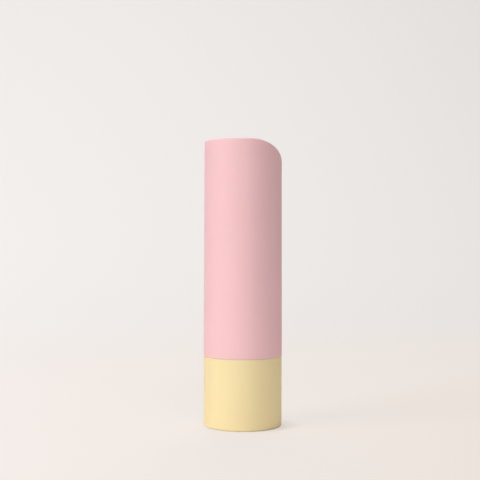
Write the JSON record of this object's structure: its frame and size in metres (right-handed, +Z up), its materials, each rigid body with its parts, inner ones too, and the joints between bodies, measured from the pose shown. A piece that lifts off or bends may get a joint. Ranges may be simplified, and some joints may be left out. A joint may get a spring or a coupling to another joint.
{
  "type": "lip balm stick",
  "caption": "Round twist-up lip balm stick. The cap, whose top rolls off to one side, pulls off, and turning the base winds the balm up out of its barrel.",
  "frame": {"origin": "middle of the ring that the stick stands on", "axes": "+Z up along the stick's axis, +X towards the low side of the cap's top"},
  "size_m": [0.019, 0.019, 0.069],
  "materials": {
    "cap_plastic": "soft matte, pastel pink",
    "base_plastic": "soft matte, pastel yellow",
    "natural_plastic": "satin, milky white",
    "balm_wax": "soft wax, cream"
  },
  "bodies": {
    "base": {"base_shell": "base_plastic", "spindle": "natural_plastic"},
    "tube": {"barrel": "natural_plastic"},
    "carriage": {"carrier": "natural_plastic", "balm": "balm_wax"},
    "cap": {"cap_shell": "cap_plastic", "cap_liner": "natural_plastic"}
  },
  "joints": [
    {"name": "twist", "type": "hinge", "parent": "base", "child": "tube", "pos_m": [0, 0, 0], "axis": [0, 0, -1], "range_deg": [0, 1800]},
    {"name": "rise", "type": "slide", "parent": "tube", "child": "carriage", "axis": [0, 0, 1], "range_m": [0, 0.027]},
    {"name": "cap_pull", "type": "slide", "parent": "tube", "child": "cap", "axis": [0, 0, 1], "range_m": [0, 0.056]}
  ],
  "couplings": [
    {"joint": "rise", "follows": "twist", "m_per_rad": 0.00085943}
  ]
}
